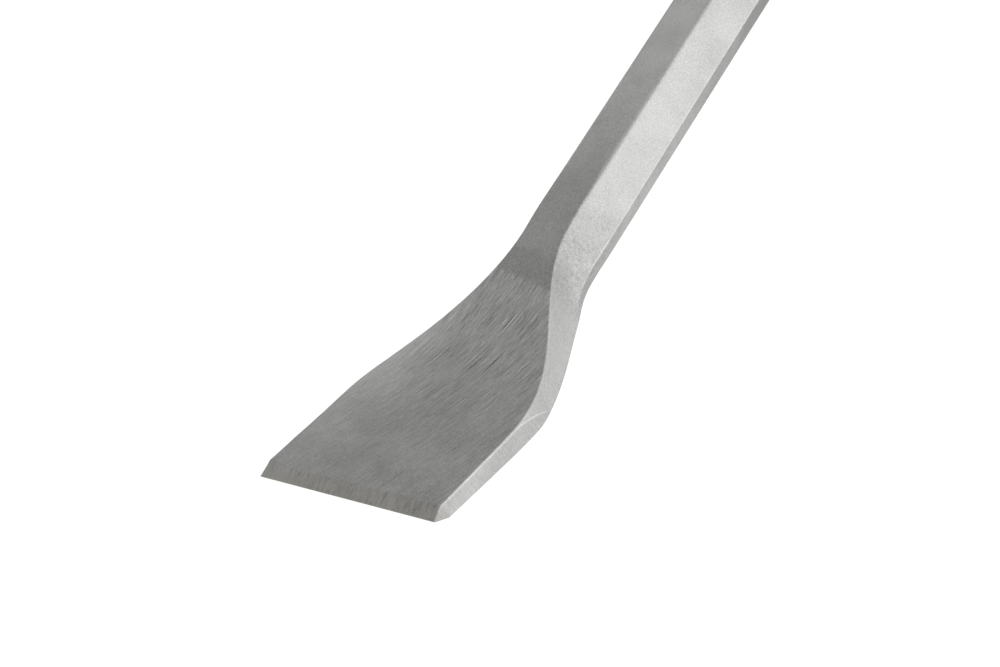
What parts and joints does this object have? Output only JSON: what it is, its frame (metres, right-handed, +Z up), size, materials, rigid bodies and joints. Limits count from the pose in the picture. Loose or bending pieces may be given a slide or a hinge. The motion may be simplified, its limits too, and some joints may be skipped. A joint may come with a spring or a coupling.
{
  "type": "cold chisel",
  "caption": "Long steel cold chisel with a wide cranked flat blade on a hexagonal bar, and a push-on hand guard with a round shield near the struck end.",
  "frame": {"origin": "centre of the struck face at the head end", "axes": "+Y out of the struck face along the hexagonal bar, +X along the cutting edge, +Z up, the side the blade is cranked towards"},
  "size_m": [0.072, 0.35, 0.072],
  "materials": {
    "forged_steel": "shot-blasted, with lengthwise grinding on the blade and grinding across the bevels",
    "stiff_plastic": "satin moulded, dark grey",
    "soft_plastic": "matt soft-touch, black"
  },
  "bodies": {
    "chisel": {"chisel_body": "forged_steel"},
    "guard": {"guard_core": "stiff_plastic", "guard_grip": "soft_plastic"}
  },
  "joints": [
    {"name": "guard_slide", "type": "slide", "parent": "chisel", "child": "guard", "axis": [0, 1, 0], "range_m": [-0.11, 0.1]}
  ]
}
